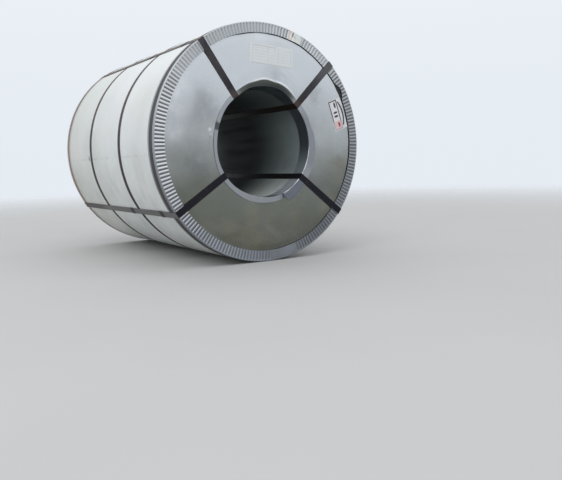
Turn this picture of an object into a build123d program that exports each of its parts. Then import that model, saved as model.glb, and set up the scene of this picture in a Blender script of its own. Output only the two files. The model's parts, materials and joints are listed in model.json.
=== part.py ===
"""A coil of steel strip lying on its side, packed in sheet steel and strapped. Millimetres.

The coil's axis runs along Y, the front face looks along -Y, and Z is up from the floor.
"""

from math import cos, radians, sin, sqrt
import os

from build123d import *

# Wound strip
bore_diameter = 508.0
coil_diameter = 1096.0
strip_width = 1320.0

# Sheet packing
wrap_thickness = 0.8
sleeve_thickness = 0.8
cover_thickness = 0.8
cover_stand_off = 2.0
cover_bore_clearance = 1.2
cover_rim_clearance = 2.0
ring_thickness = 0.8
sheet_gap = 0.2

# Outer edge rings, with a fluted leg on the face and a plain leg on the barrel
outer_ring_face_leg = 52.0
outer_ring_barrel_leg = 65.0
flute_count = 200
flute_height = 3.0
lap_angles = (71.0, -80.0)
lap_arc = 14.4

# Inner edge rings
inner_ring_face_leg = 22.0
inner_ring_bore_leg = 80.0

# Straps and their seals
strap_width = 32.0
strap_thickness = 0.8
strap_gap = 0.1
strap_crease = 0.5
end_strap_setback = 32.0
middle_strap_setbacks = (432.0, 875.0)
eye_strap_angles = (124.5, 44.6, -38.2, -146.2)
seal_length = 36.0
seal_thickness = 0.8
eye_seal_setbacks = (161.0, 532.0)
girth_seal_angle = 18.0
seal_clearance = 0.15

# Radii, from the bore outwards
bore_radius = bore_diameter / 2
coil_radius = coil_diameter / 2
sleeve_outside = bore_radius - sheet_gap
sleeve_inside = sleeve_outside - sleeve_thickness
inner_ring_outside = sleeve_inside - sheet_gap
clear_bore_radius = inner_ring_outside - ring_thickness
bore_strap_outside = clear_bore_radius - strap_gap
bore_strap_inside = bore_strap_outside - strap_thickness
wrap_inside = coil_radius + sheet_gap
wrap_outside = wrap_inside + wrap_thickness
outer_ring_inside = wrap_outside + sheet_gap
outer_ring_outside = outer_ring_inside + ring_thickness
end_strap_inside = outer_ring_outside + strap_gap
end_strap_outside = end_strap_inside + strap_thickness
middle_strap_inside = wrap_outside + strap_gap
eye_strap_inside = end_strap_outside + strap_gap
eye_strap_outside = eye_strap_inside + strap_thickness

# Distances from the middle of the coil towards either end
coil_end = strip_width / 2
cover_back = coil_end + cover_stand_off
cover_face = cover_back + cover_thickness
ring_back = cover_face + sheet_gap
ring_face = ring_back + ring_thickness
package_end = ring_face + flute_height
face_strap_back = package_end + strap_gap
face_strap_front = face_strap_back + strap_thickness

# The lowest line is the underside of the end straps
axis_height = end_strap_outside
coil_axis = Axis((0, 0, axis_height), (0, 1, 0))
section_plane = Plane(origin=(0, 0, axis_height), x_dir=(0, 1, 0), z_dir=(1, 0, 0))
middle_plane = Plane(origin=(0, 0, axis_height), x_dir=(1, 0, 0), z_dir=(0, -1, 0))

os.makedirs("parts", exist_ok=True)


def save(piece, name):
    """Names a finished solid and writes it to its own file."""
    piece.label = name
    export_step(piece, f"parts/{name}.step")


def turned(start, end, inside, outside):
    """A round tube or flat ring between two places on the axis and two radii."""
    with BuildPart() as blank:
        with BuildSketch(section_plane):
            with Locations(((start + end) / 2, (inside + outside) / 2)):
                Rectangle(end - start, outside - inside)
        revolve(axis=coil_axis)
    return blank.part


def flipped(front_piece):
    """The same piece for the rear end."""
    with BuildPart() as rear:
        mirror(front_piece, about=Plane.XZ, mode=Mode.ADD)
    return rear.part


def radial_plane(angle):
    """The plane through the axis at an angle, with X along the coil and Y outwards."""
    across = (sin(radians(angle)), 0, -cos(radians(angle)))
    return Plane(origin=(0, 0, axis_height), x_dir=(0, 1, 0), z_dir=across)


# The wound strip, turned in one with its bore
save(turned(-coil_end, coil_end, bore_radius, coil_radius), "steel_coil")

# Sheets round the outside, in the bore and over both ends
save(turned(-coil_end, coil_end, wrap_inside, wrap_outside), "outer_wrap")
save(turned(-coil_end, coil_end, sleeve_inside, sleeve_outside), "bore_sleeve")
cover_inside = sleeve_outside + cover_bore_clearance
cover_outside = coil_radius - cover_rim_clearance
end_cover_front = turned(-cover_face, -cover_back, cover_inside, cover_outside)
save(end_cover_front, "end_cover_front")
save(flipped(end_cover_front), "end_cover_rear")

# One flute of the outer ring's face leg: a ridge on the sheet, wider and higher outwards
flute_pitch = 360 / flute_count
leg_inside = outer_ring_outside - outer_ring_face_leg
leg_outside = outer_ring_inside + ring_thickness / 2
with BuildPart() as flute:
    for radius in (leg_inside, leg_outside):
        half_pitch = radius * sin(radians(flute_pitch / 2))
        reach = radius * cos(radians(flute_pitch / 2))
        crest = flute_height * radius / outer_ring_outside
        with BuildSketch(Plane(origin=(reach, 0, 0), x_dir=(0, 1, 0), z_dir=(1, 0, 0))):
            with BuildLine():
                Polyline(
                    (-half_pitch, ring_thickness),
                    (0, ring_thickness + crest),
                    (half_pitch, ring_thickness),
                    (half_pitch, 0),
                    (-half_pitch, 0),
                    close=True,
                )
            make_face()
    loft(ruled=True)

# The fluted ring, with smooth laps where its lengths of strip overlap
lap_spans = [(angle - lap_arc / 2, angle + lap_arc / 2) for angle in lap_angles]
flute_angles = [
    flute_pitch * number
    for number in range(-flute_count // 2, flute_count // 2)
    if not any(low < flute_pitch * number < high for low, high in lap_spans)
]
ring_end = outer_ring_barrel_leg - package_end
barrel_leg = turned(-package_end, ring_end, outer_ring_inside, outer_ring_outside)
leg_plane = middle_plane.offset(ring_back)
with BuildPart() as outer_edge_ring_front:
    add([flute.part.moved(leg_plane.location * Rot(0, 0, angle)) for angle in flute_angles])
    with BuildSketch(leg_plane):
        for angle in lap_angles:
            with BuildLine():
                lap_edges = [
                    CenterArc((0, 0), radius, angle - lap_arc / 2, lap_arc)
                    for radius in (leg_inside, leg_outside)
                ]
                Line(lap_edges[0] @ 0, lap_edges[1] @ 0)
                Line(lap_edges[0] @ 1, lap_edges[1] @ 1)
            make_face()
    extrude(amount=package_end - ring_back)
    add(barrel_leg)
save(outer_edge_ring_front.part, "outer_edge_ring_front")
save(flipped(outer_edge_ring_front.part), "outer_edge_ring_rear")

# Inner rings, a plain angle of sheet over the cover's edge and into the bore
inner_leg_outside = clear_bore_radius + inner_ring_face_leg
with BuildPart() as inner_edge_ring_front:
    with BuildSketch(section_plane):
        with BuildLine():
            Polyline(
                (-ring_face, clear_bore_radius),
                (-ring_face, inner_leg_outside),
                (-ring_back, inner_leg_outside),
                (-ring_back, inner_ring_outside),
                (inner_ring_bore_leg - ring_face, inner_ring_outside),
                (inner_ring_bore_leg - ring_face, clear_bore_radius),
                close=True,
            )
        make_face()
    revolve(axis=coil_axis)
save(inner_edge_ring_front.part, "inner_edge_ring_front")
save(flipped(inner_edge_ring_front.part), "inner_edge_ring_rear")


def seal(plane, name):
    """A sheet sleeve pressed over a strap, open below, on a plane across the strap."""
    fold = seal_clearance + seal_thickness
    with BuildPart() as sleeve:
        with BuildSketch(plane):
            Rectangle(
                strap_width + 2 * fold,
                strap_thickness + fold,
                align=(Align.CENTER, Align.MIN),
            )
            Rectangle(
                strap_width + 2 * seal_clearance,
                strap_thickness + seal_clearance,
                align=(Align.CENTER, Align.MIN),
                mode=Mode.SUBTRACT,
            )
        extrude(amount=seal_length / 2, both=True)
    save(sleeve.part, name)


def girth_strap(middle, inside, name):
    """A strap round the barrel and its seal, from the strap's place and the radius it lies on."""
    edge = strap_width / 2
    save(turned(middle - edge, middle + edge, inside, inside + strap_thickness), f"girth_strap_{name}")
    turn = radians(girth_seal_angle)
    foot = Vector(inside * cos(turn), middle, axis_height + inside * sin(turn))
    seal(Plane(origin=foot, x_dir=(0, 1, 0), z_dir=(sin(turn), 0, -cos(turn))), f"girth_seal_{name}")


girth_strap(end_strap_setback - package_end, end_strap_inside, "front_end")
girth_strap(middle_strap_setbacks[0] - package_end, middle_strap_inside, "front_middle")
girth_strap(middle_strap_setbacks[1] - package_end, middle_strap_inside, "rear_middle")
girth_strap(package_end - end_strap_setback, end_strap_inside, "rear_end")

# A flat strap in the round bore bears on its two edges
mouth_seat = sqrt(bore_strap_outside**2 - (strap_width / 2) ** 2)
mouth_back = ring_face + strap_gap
mouth_front = mouth_back + strap_thickness


def eye_strap(angle, name):
    """A closed strap through the bore, over both faces and along the barrel, with two seals."""
    with BuildPart() as strap:
        with BuildSketch(radial_plane(angle)):
            with BuildLine():
                half_loop = Polyline(
                    (0, eye_strap_outside),
                    (-face_strap_front, eye_strap_outside),
                    (-face_strap_front, leg_inside),
                    (-mouth_front, inner_leg_outside),
                    (-mouth_front, mouth_seat - strap_thickness),
                    (0, mouth_seat - strap_thickness),
                )
                mirror(half_loop, about=Plane.YZ)
            loop = make_face()
            folds = loop.vertices().group_by(Axis.Y)
            chamfer(folds[0] + folds[-1], length=strap_crease)
            offset(amount=-strap_thickness, kind=Kind.INTERSECTION, mode=Mode.SUBTRACT)
        extrude(amount=strap_width / 2, both=True)
        with BuildSketch(middle_plane.offset(-mouth_front)):
            Circle(bore_strap_inside)
        extrude(amount=2 * mouth_front, mode=Mode.SUBTRACT)
        with BuildSketch(middle_plane.offset(-mouth_back)):
            Circle(bore_strap_outside)
            Circle(bore_strap_inside, mode=Mode.SUBTRACT)
            with PolarLocations(bore_radius, 1, start_angle=angle):
                Rectangle(bore_radius, strap_width, mode=Mode.INTERSECT)
        extrude(amount=2 * mouth_back)
    save(strap.part, f"eye_strap_{name}")
    turn = radians(angle)
    for setback, place in zip(eye_seal_setbacks, ("front", "middle")):
        foot = Vector(
            eye_strap_inside * cos(turn),
            setback - package_end,
            axis_height + eye_strap_inside * sin(turn),
        )
        across = Plane(origin=foot, x_dir=(-sin(turn), 0, cos(turn)), z_dir=(0, 1, 0))
        seal(across, f"eye_seal_{name}_{place}")


for eye_angle, corner in zip(
    eye_strap_angles, ("upper_left", "upper_right", "lower_right", "lower_left")
):
    eye_strap(eye_angle, corner)
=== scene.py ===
"""Looks of a steel coil on its side, packed in sheet and strapped. Metres, in the model's frame.

The coil's axis runs along Y, the front face looks along -Y, and Z is up from the floor.
"""

import json
import math

import bpy
import numpy as np
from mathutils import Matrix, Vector


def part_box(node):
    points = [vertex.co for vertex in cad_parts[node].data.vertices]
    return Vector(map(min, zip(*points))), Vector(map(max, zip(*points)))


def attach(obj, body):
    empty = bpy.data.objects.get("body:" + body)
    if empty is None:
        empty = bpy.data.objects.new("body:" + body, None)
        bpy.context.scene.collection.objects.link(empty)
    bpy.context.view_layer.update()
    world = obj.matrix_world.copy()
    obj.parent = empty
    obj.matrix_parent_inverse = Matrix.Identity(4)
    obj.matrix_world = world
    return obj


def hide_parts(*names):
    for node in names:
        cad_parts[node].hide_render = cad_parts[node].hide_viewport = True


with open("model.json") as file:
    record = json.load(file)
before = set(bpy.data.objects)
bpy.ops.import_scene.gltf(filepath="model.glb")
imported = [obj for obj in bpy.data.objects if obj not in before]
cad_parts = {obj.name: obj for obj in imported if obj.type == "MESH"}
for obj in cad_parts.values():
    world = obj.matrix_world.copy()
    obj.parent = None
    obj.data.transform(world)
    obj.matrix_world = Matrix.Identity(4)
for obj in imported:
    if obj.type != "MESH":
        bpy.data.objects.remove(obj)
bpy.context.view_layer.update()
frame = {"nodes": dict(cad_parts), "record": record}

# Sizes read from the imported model
ring_low, ring_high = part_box("outer_edge_ring_front")
cover_low, cover_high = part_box("end_cover_front")
inner_ring_low, inner_ring_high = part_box("inner_edge_ring_front")
coil_low, coil_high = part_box("steel_coil")
sleeve_low, sleeve_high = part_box("bore_sleeve")
axis_height = (ring_low.z + ring_high.z) / 2
ring_radius = (ring_high.x - ring_low.x) / 2
package_end = -ring_low.y
ring_barrel_end = -ring_high.y
cover_radius = (cover_high.x - cover_low.x) / 2
cover_face = -cover_low.y
sheet = cover_high.y - cover_low.y
leg_radius = (inner_ring_high.x - inner_ring_low.x) / 2
leg_face = -inner_ring_low.y
leg_end = -inner_ring_high.y
coil_radius = (coil_high.x - coil_low.x) / 2
coil_end = coil_high.y
sleeve_radius = (sleeve_high.x - sleeve_low.x) / 2
bore_radius = frame["record"]["mounts"][0]["dims"]["r_mm"] / 1000

# Sizes that the model holds inside its solids
ring_leg_inside = 0.498
cover_inside = 0.255
strap_width = 0.032
flute_count = 200
flute_depth = 0.003
eye_strap_angles = (124.5, 44.6, -38.2, -146.2)
girth_strap_places = (-0.6348, -0.2348, 0.2082, 0.6348)

# Where no flutes show on the ring's laps: angle and arc
smooth_laps = ((68.0, 4.4), (-80.0, 14.4))

# Which way each end faces, and the steps of a whole turn round the axis
FRONT, REAR = -1, 1
turn_steps = 480


# Node trees


def feed(socket, value):
    """Joins a socket to another node's output, or sets its value. A colour is three numbers."""
    if isinstance(value, bpy.types.NodeSocket):
        socket.id_data.links.new(value, socket)
    elif socket.type == "RGBA":
        socket.default_value = (*value, 1)
    else:
        socket.default_value = value


def feed_all(sockets, **values):
    """Feeds sockets by name, where an underscore stands for a space."""
    for name, value in values.items():
        feed(sockets[name.replace("_", " ")], value)


def put(kind, inputs=(), tree=None, **options):
    """Adds a node to a tree, or else to the one that its inputs come from, and returns it."""
    inputs = dict(inputs)
    if tree is None:
        joined = [value for value in inputs.values() if isinstance(value, bpy.types.NodeSocket)]
        tree = joined[0].id_data
    made = tree.nodes.new(kind)
    for name, value in options.items():
        setattr(made, name, value)
    for name, value in inputs.items():
        feed(made.inputs[name], value)
    return made


def maths(operation, *values):
    return put("ShaderNodeMath", enumerate(values), operation=operation).outputs[0]


def times(first, *others):
    for other in others:
        first = maths("MULTIPLY", first, other)
    return first


def plus(first, second):
    return maths("ADD", first, second)


def minus(first, second):
    return maths("SUBTRACT", first, second)


def apart(first, second):
    """How far two numbers are from each other."""
    return maths("ABSOLUTE", minus(first, second))


def turn_between(first, second):
    """The angle between two bearings, the shorter way round."""
    return maths("ABSOLUTE", maths("WRAP", minus(first, second), math.pi, -math.pi))


def scaled(value, scale, start):
    """A value scaled, and added to a start."""
    return maths("MULTIPLY_ADD", value, scale, start)


def vectors(operation, first, second, output="Vector"):
    inputs = {0: first, 1: second}
    return put("ShaderNodeVectorMath", inputs, operation=operation).outputs[output]


def split(vector):
    return put("ShaderNodeSeparateXYZ", {0: vector}).outputs


def ranged(value, low, high, start=0.0, end=1.0, kind="SMOOTHSTEP"):
    """Value between low and high as a smooth number between start and end."""
    inputs = {"Value": value, "From Min": low, "From Max": high, "To Min": start, "To Max": end}
    return put("ShaderNodeMapRange", inputs, interpolation_type=kind).outputs[0]


def mixed(share, first, second, way="MIX"):
    """First colour with a share of the second over it."""
    inputs = {0: share, 6: first, 7: second}
    return put("ShaderNodeMix", inputs, data_type="RGBA", blend_type=way).outputs[2]


def painted(colour, *layers):
    """A colour with tints laid over it in turn: the mask, the share and the tint of each."""
    for mask, share, tint in layers:
        colour = mixed(times(mask, share), colour, tint)
    return colour


def noise(vector, scale, detail=3.0, roughness=0.5, seed=0.0):
    inputs = {"Vector": vector, "W": seed, "Scale": scale, "Detail": detail, "Roughness": roughness}
    return put("ShaderNodeTexNoise", inputs, noise_dimensions="4D").outputs["Fac"]


def new_group(name, inputs, outputs, kind="ShaderNodeTree"):
    """A node group: its tree, the inputs to read and the outputs to feed.

    An input is given as its first value, or as its kind where it has none.
    """
    tree = bpy.data.node_groups.new(name, kind)
    kinds = {float: "Float", int: "Int", tuple: "Vector"}
    for label, value in inputs.items():
        socket = kinds.get(type(value), value)
        made = tree.interface.new_socket(label, in_out="INPUT", socket_type=f"NodeSocket{socket}")
        if socket != value:
            made.default_value = value
    for label, socket in outputs.items():
        tree.interface.new_socket(label, in_out="OUTPUT", socket_type=f"NodeSocket{socket}")
    return tree, tree.nodes.new("NodeGroupInput").outputs, tree.nodes.new("NodeGroupOutput").inputs


def place(group, **inputs):
    """Puts a node group in a material with its own values, and returns its outputs."""
    made = put("ShaderNodeGroup", tree=inputs["Vector"].id_data, node_tree=group)
    feed_all(made.inputs, **inputs)
    return made.outputs


def mask_of(group, vector, **inputs):
    return place(group, Vector=vector, **inputs)["Mask"]


# Effects that several materials share


def round_the_axis_group():
    """Where a point is on the coil: its radius, its bearing from the top, and the barrel laid flat."""
    tree, given, out = new_group(
        "round_the_axis",
        {"Vector": "Vector"},
        {"Radius": "Float", "Bearing": "Float", "Along": "Float", "Rise": "Float", "Unrolled": "Vector"},
    )
    parts = split(given["Vector"])
    along, rise = parts["Y"], minus(parts["Z"], axis_height)
    radius = maths("SQRT", scaled(rise, rise, times(parts["X"], parts["X"])))
    bearing = maths("ARCTAN2", parts["X"], rise)
    flat = put("ShaderNodeCombineXYZ", {"X": times(bearing, radius), "Y": along, "Z": radius})
    feed_all(out, Radius=radius, Bearing=bearing, Along=along, Rise=rise, Unrolled=flat.outputs[0])
    return tree


def patches_group():
    """Soft cloudy patches, from none to full between two levels of noise."""
    inputs = {"Vector": "Vector", "Scale": 4.0, "Detail": 3.0, "Low": 0.4, "High": 0.65, "Seed": 0.0}
    tree, given, out = new_group("cloudy_patches", inputs, {"Mask": "Float"})
    cloud = noise(given["Vector"], given["Scale"], given["Detail"], 0.55, given["Seed"])
    feed_all(out, Mask=ranged(cloud, given["Low"], given["High"]))
    return tree


def streaks_group():
    """Fine lines that run one way, as rolling, wiping and rain leave them."""
    inputs = {"Vector": "Vector", "Stretch": (1.0, 1.0, 1.0), "Low": 0.35, "High": 0.7, "Seed": 0.0}
    tree, given, out = new_group("fine_streaks", inputs, {"Mask": "Float", "Tone": "Float"})
    stretched = vectors("MULTIPLY", given["Vector"], given["Stretch"])
    lines = noise(stretched, 1.0, 4.0, 0.6, given["Seed"])
    feed_all(out, Tone=lines, Mask=ranged(lines, given["Low"], given["High"]))
    return tree


def scratches_group():
    """Hairline scratches that wander, kept only in patches."""
    inputs = {"Vector": "Vector", "Scale": 6.0, "Width": 0.02, "Amount": 0.5, "Seed": 0.0}
    tree, given, out = new_group("hairline_scratches", inputs, {"Mask": "Float"})
    bands_of_noise = 9.0
    field = noise(given["Vector"], given["Scale"], 1.0, 0.4, given["Seed"])
    line = ranged(apart(maths("FRACT", times(field, bands_of_noise)), 0.5), given["Width"], 0.0)
    finer, other_seed = times(given["Scale"], 3.0), plus(given["Seed"], 5.0)
    kept = ranged(noise(given["Vector"], finer, 2.0, 0.5, other_seed), 0.62, 0.7)
    feed_all(out, Mask=times(line, kept, given["Amount"]))
    return tree


def spangle_group():
    """Zinc crystals: a tone for each crystal, and their faint relief."""
    inputs = {"Vector": "Vector", "Crystal Size": 0.006}
    tree, given, out = new_group("zinc_spangle", inputs, {"Tone": "Float", "Height": "Float"})
    shift = vectors("MULTIPLY", noise(given["Vector"], 90.0, 2.0), (0.004, 0.004, 0.004))
    bent = vectors("ADD", given["Vector"], shift)
    scale = maths("DIVIDE", 1.0, given["Crystal Size"])
    cells = put("ShaderNodeTexVoronoi", {"Vector": bent, "Scale": scale}).outputs
    tone = put("ShaderNodeSeparateColor", {0: cells["Color"]}).outputs[0]
    feed_all(out, Tone=tone, Height=cells["Distance"])
    return tree


def edge_wear_shade_and_glint_group():
    """A ragged band along an edge, from the distance to that edge: wear on the straps and wrap, a
    painted shadow beside the rings on the covers, and a painted highlight on the mouth ring's rim.
    """
    inputs = {"Distance": 0.0, "Width": 0.002, "Vector": "Vector", "Scale": 60.0, "Seed": 0.0}
    tree, given, out = new_group("edge_wear", inputs, {"Mask": "Float"})
    rag = noise(given["Vector"], given["Scale"], 4.0, 0.6, given["Seed"])
    reach = times(given["Width"], ranged(rag, 0.35, 0.7, 0.05, 2.0, "LINEAR"))
    feed_all(out, Mask=ranged(given["Distance"], reach, 0.0))
    return tree


def dirt_group():
    """Dust and splashes, thicker low down, with streaks where it ran."""
    inputs = {"Vector": "Vector", "Top": 0.9, "Bottom": 0.0, "Scale": 7.0, "Amount": 0.5, "Seed": 0.0}
    tree, given, out = new_group("settled_dirt", inputs, {"Mask": "Float"})
    low_down = ranged(split(given["Vector"])["Z"], given["Top"], given["Bottom"])
    clouds = noise(given["Vector"], given["Scale"], 4.0, 0.55, given["Seed"])
    drawn_out = vectors("MULTIPLY", given["Vector"], (26.0, 26.0, 3.0))
    runs = noise(drawn_out, 1.0, 3.0, 0.5, given["Seed"])
    spotty = ranged(scaled(runs, 0.35, times(clouds, 0.65)), 0.4, 0.66)
    feed_all(out, Mask=times(spotty, low_down, given["Amount"]))
    return tree


round_the_axis = round_the_axis_group()
cloudy_patches = patches_group()
fine_streaks = streaks_group()
hairline_scratches = scratches_group()
zinc_spangle = spangle_group()
edge_wear = edge_wear_shade_and_glint_group()
settled_dirt = dirt_group()


# Materials


def new_material(name, **constants):
    """A material with its surface shader and the object's own coordinates."""
    material = bpy.data.materials.new(name)
    material.use_nodes = True
    tree = material.node_tree
    surface = tree.nodes["Principled BSDF"].inputs
    feed_all(surface, **constants)
    return material, surface, put("ShaderNodeTexCoord", tree=tree).outputs["Object"]


def finish_surface(surface, colour, roughness, height, strength, distance, metallic=0.0):
    """Feeds the surface shader with what varies over the surface."""
    bump = put("ShaderNodeBump", {"Height": height, "Strength": strength, "Distance": distance})
    feed_all(surface, Base_Color=colour, Roughness=roughness, Metallic=metallic, Normal=bump.outputs[0])


def angle_mask(at, angle, half_width, softness):
    """One near an angle on the coil, in degrees from +X, and nought elsewhere."""
    off = turn_between(at["Bearing"], math.radians(90 - angle))
    return ranged(off, math.radians(half_width + softness), math.radians(half_width))


def front_mask(at):
    """One at the front end, and nought behind it."""
    return ranged(at["Along"], -0.5, -0.55)


def span_mask(value, middle, half_width, softness):
    return ranged(apart(value, middle), half_width + softness, half_width)


def spot(where, x, rise, reach):
    """One at a place on an end face, fading to nought over a distance from it."""
    flat = vectors("MULTIPLY", where, (1.0, 0.0, 1.0))
    return ranged(vectors("DISTANCE", flat, (x, 0.0, axis_height + rise), "Value"), reach, 0.0)


def stored(tree, name):
    """A number kept at each point of a piece."""
    return put("ShaderNodeAttribute", tree=tree, attribute_name=name).outputs["Fac"]


def patchy(where, scale, low, high, seed, detail=3.0):
    """A mask of cloudy patches."""
    return mask_of(cloudy_patches, where, Scale=scale, Low=low, High=high, Detail=detail, Seed=seed)


def wrap_material():
    """Off-white painted sheet round the barrel, with smudges and one rusty stain."""
    material, surface, where = new_material("wrap_paint", Coat_Weight=0.12, Coat_Roughness=0.3)
    at = place(round_the_axis, Vector=where)
    cool = patchy(where, 3.4, 0.45, 0.72, 2.0)
    settled = times(angle_mask(at, 114.0, 2.0, 16.0), patchy(where, 5.0, 0.2, 0.6, 10.0, 4.0))
    streaks = mask_of(fine_streaks, at["Unrolled"], Stretch=(3.0, 60.0, 1.0), Seed=3.0)
    dirt = mask_of(settled_dirt, where, Top=1.0, Bottom=0.1, Scale=6.0, Amount=0.3, Seed=4.0)
    # A rubbed line along the barrel, broken up, and a rusty stain behind the rear middle strap
    line = times(angle_mask(at, 184.6, 0.25, 0.6), patchy(where, 16.0, 0.46, 0.62, 5.0))
    stain_place = (math.radians(90 - 184.3) * coil_radius, 0.25, coil_radius)
    off_stain = vectors("DISTANCE", at["Unrolled"], stain_place, "Value")
    ragged = scaled(noise(where, 55.0, 4.0, 0.65, 6.0), 0.05, off_stain)
    colour = painted(
        (0.79, 0.82, 0.82),
        (ranged(at["Along"], -0.2, 0.66), 0.8, (0.63, 0.66, 0.6)),
        (settled, 0.5, (0.53, 0.55, 0.5)),
        (patchy(where, 2.2, 0.42, 0.7, 1.0), 0.45, (0.78, 0.755, 0.71)),
        (cool, 0.35, (0.66, 0.72, 0.71)),
        (streaks, 0.07, (0.5, 0.51, 0.5)),
        (dirt, 1.0, (0.36, 0.35, 0.31)),
        (line, 0.22, (0.35, 0.33, 0.28)),
        (ranged(ragged, 0.045, 0.026), 0.9, (0.15, 0.13, 0.085)),
    )
    # Rust bleeds from under the straps
    for middle in girth_strap_places[1:]:
        off = minus(apart(at["Along"], middle), strap_width / 2)
        bleed = mask_of(edge_wear, where, Distance=off, Width=0.008, Scale=9.0, Seed=7.0)
        colour = painted(colour, (bleed, 0.4, (0.5, 0.4, 0.33)))
    scratch = mask_of(hairline_scratches, where, Scale=2.5, Width=0.016, Seed=8.0)
    colour = painted(colour, (scratch, 1.0, (0.52, 0.53, 0.52)))
    ripple = place(fine_streaks, Vector=at["Unrolled"], Stretch=(2.0, 5.0, 1.0), Seed=9.0)["Tone"]
    height = scaled(noise(where, 260.0, 2.0), 0.02, ripple)
    finish_surface(surface, colour, scaled(plus(dirt, cool), 0.2, 0.36), height, 0.3, 0.004)
    return material


def galvanised_material(name, tone, low_tone, dirt_amount, seed, roughness):
    """Galvanised sheet with faint crystals, cloudy oxide, scratches, and a lower part painted darker as
    shade.
    """
    material, surface, where = new_material(name)
    at = place(round_the_axis, Vector=where)
    crystals = place(zinc_spangle, Vector=where, Crystal_Size=0.007)
    # Towards the bottom the colour goes to the low tone, broken up by patches: painted shade and a
    # painted darker reflection of the ground
    painted_low_shade = ranged(scaled(patchy(where, 3.0, 0.3, 0.75, seed), -0.12, at["Rise"]), 0.3, -0.3)
    oxide = patchy(where, 5.0, 0.42, 0.7, seed + 1)
    colour = painted(mixed(painted_low_shade, tone, low_tone), (oxide, 0.12, (0.42, 0.42, 0.5)))
    spread = minus(crystals["Tone"], 0.5)
    shade = scaled(spread, 0.035, 0.5)
    grey = put("ShaderNodeCombineColor", {0: shade, 1: shade, 2: shade}).outputs[0]
    colour = mixed(0.5, colour, grey, "OVERLAY")
    scratch = mask_of(hairline_scratches, where, Scale=4.0, Width=0.012, Seed=seed + 2)
    dirt = mask_of(settled_dirt, where, Top=1.0, Scale=6.0, Amount=dirt_amount, Seed=seed + 3)
    colour = painted(colour, (scratch, 0.4, (0.7, 0.71, 0.72)), (dirt, 1.0, (0.15, 0.145, 0.12)))
    rough = scaled(spread, 0.02, scaled(plus(oxide, dirt), 0.12, roughness))
    metal = ranged(dirt, 0.0, 1.0, 0.95, 0.4)
    height = scaled(crystals["Height"], 0.003, noise(where, 6.0, 2.0, 0.5, seed + 4))
    finish_surface(surface, colour, rough, height, 0.35, 0.01, metal)
    return material, surface, where, at, colour


def cover_material():
    """The end covers' sheet, with a painted shadow in the gap at the outer ring, a painted shadow line
    at the inner one, painted reflections and highlights on the front, and a painted highlight on the
    torn lip.
    """
    material, surface, where, at, colour = galvanised_material(
        "cover_sheet", (0.65, 0.67, 0.69), (0.175, 0.185, 0.16), 0.22, 20.0, 0.24
    )
    tree = material.node_tree
    brown = times(patchy(where, 5.0, 0.5, 0.7, 24.0), ranged(at["Rise"], 0.0, -0.2))
    # A painted shadow in the gap under the outer ring's fluted leg
    before_ring = times(stored(tree, "past_ring_leg"), -1.0)
    painted_gap_shadow = mask_of(edge_wear, where, Distance=before_ring, Width=0.0016, Scale=30.0, Seed=25.0)
    # A painted shadow line beside the edge of the mouth ring's leg, on its left side
    off_leg = maths("ABSOLUTE", stored(tree, "past_inner_leg"))
    line = mask_of(edge_wear, where, Distance=off_leg, Width=0.003, Scale=7.0, Seed=26.0)
    colour = painted(
        colour,
        (brown, 0.35, (0.27, 0.25, 0.17)),
        (painted_gap_shadow, 0.96, (0.02, 0.02, 0.026)),
        (times(line, angle_mask(at, 195.0, 42.0, 12.0)), 0.85, (0.05, 0.05, 0.06)),
    )
    uneven = times(front_mask(at), ranged(noise(where, 8.0, 3.0, 0.6, 27.0), 0.36, 0.62, 0.2, 1.0))
    dark, pale, brown_tint = (0.14, 0.15, 0.15), (0.9, 0.91, 0.93), (0.13, 0.1, 0.05)
    # Painted darker and brighter reflections on the front cover, painted highlights beside the left
    # dent, and one brown stain: x, height over the axis, reach, share and tint
    spots = (
        (-0.310, 0.160, 0.15, 0.45, dark),
        (-0.345, -0.080, 0.19, 0.5, dark),
        (0.300, 0.240, 0.07, 0.45, dark),
        (0.060, 0.325, 0.07, 0.25, dark),
        (-0.440, 0.200, 0.13, 0.65, pale),
        (-0.281, 0.064, 0.014, 0.6, pale),
        (-0.277, 0.044, 0.012, 0.45, pale),
        (-0.455, 0.040, 0.08, 0.35, pale),
        (-0.010, 0.470, 0.10, 0.4, pale),
        (0.448, -0.086, 0.06, 0.45, brown_tint),
    )
    for x, rise, reach, share, tint in spots:
        colour = painted(colour, (times(spot(where, x, rise, reach), uneven), share, tint))
    # A painted highlight on the torn lip
    colour = painted(colour, (stored(tree, "raised_lip"), 0.95, (0.93, 0.945, 0.96)))
    feed_all(surface, Base_Color=colour)
    return material


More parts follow.
